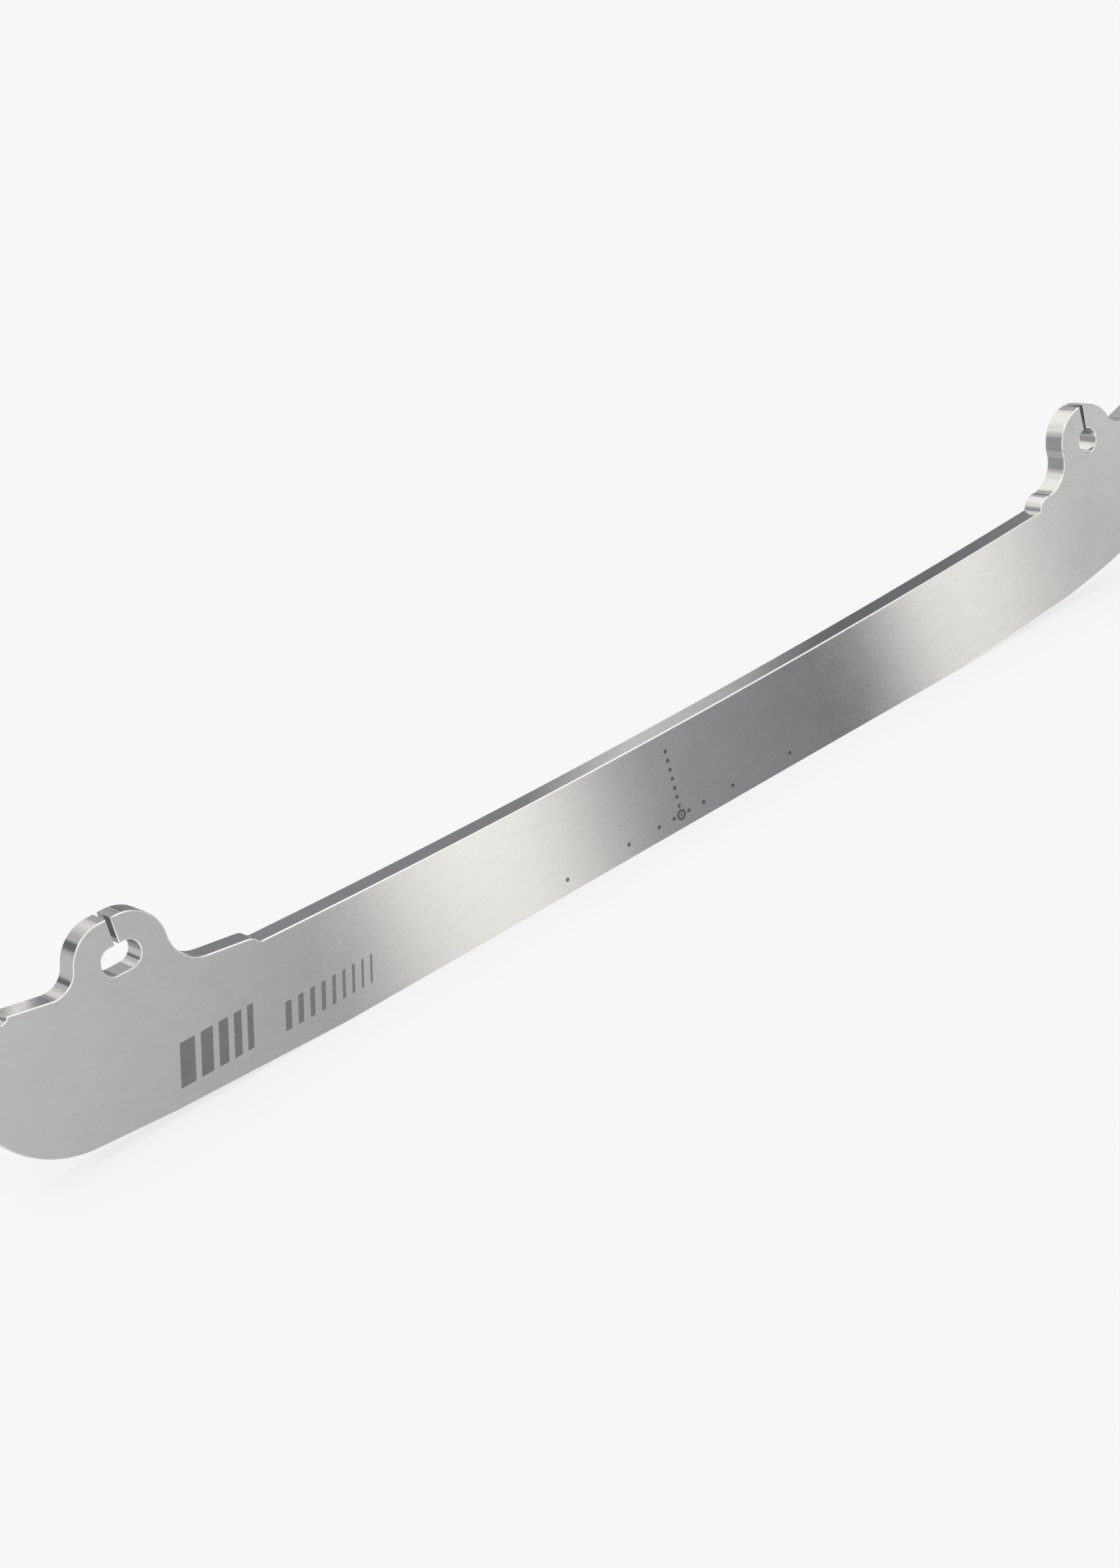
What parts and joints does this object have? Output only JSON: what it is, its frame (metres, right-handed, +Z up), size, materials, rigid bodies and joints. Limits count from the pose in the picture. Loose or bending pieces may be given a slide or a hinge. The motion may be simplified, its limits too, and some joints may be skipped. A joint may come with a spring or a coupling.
{
  "type": "hockey skate blade",
  "caption": "Flat steel ice hockey skate runner with split bolt lugs on its top edge and a gently rockered running edge that sweeps up at the toe.",
  "frame": {"origin": "on the running edge, in the middle of the steel's thickness and under the middle of the blade's length", "axes": "+X along the blade towards the toe, +Y across the steel's thickness towards the plain face, +Z up from the running edge to the lugs"},
  "size_m": [0.263, 0.004, 0.0326],
  "materials": {
    "steel": "satin ground stainless steel",
    "etch": "matt dark laser mark on the steel's near face"
  },
  "bodies": {
    "root": {"runner": "steel"}
  },
  "joints": []
}
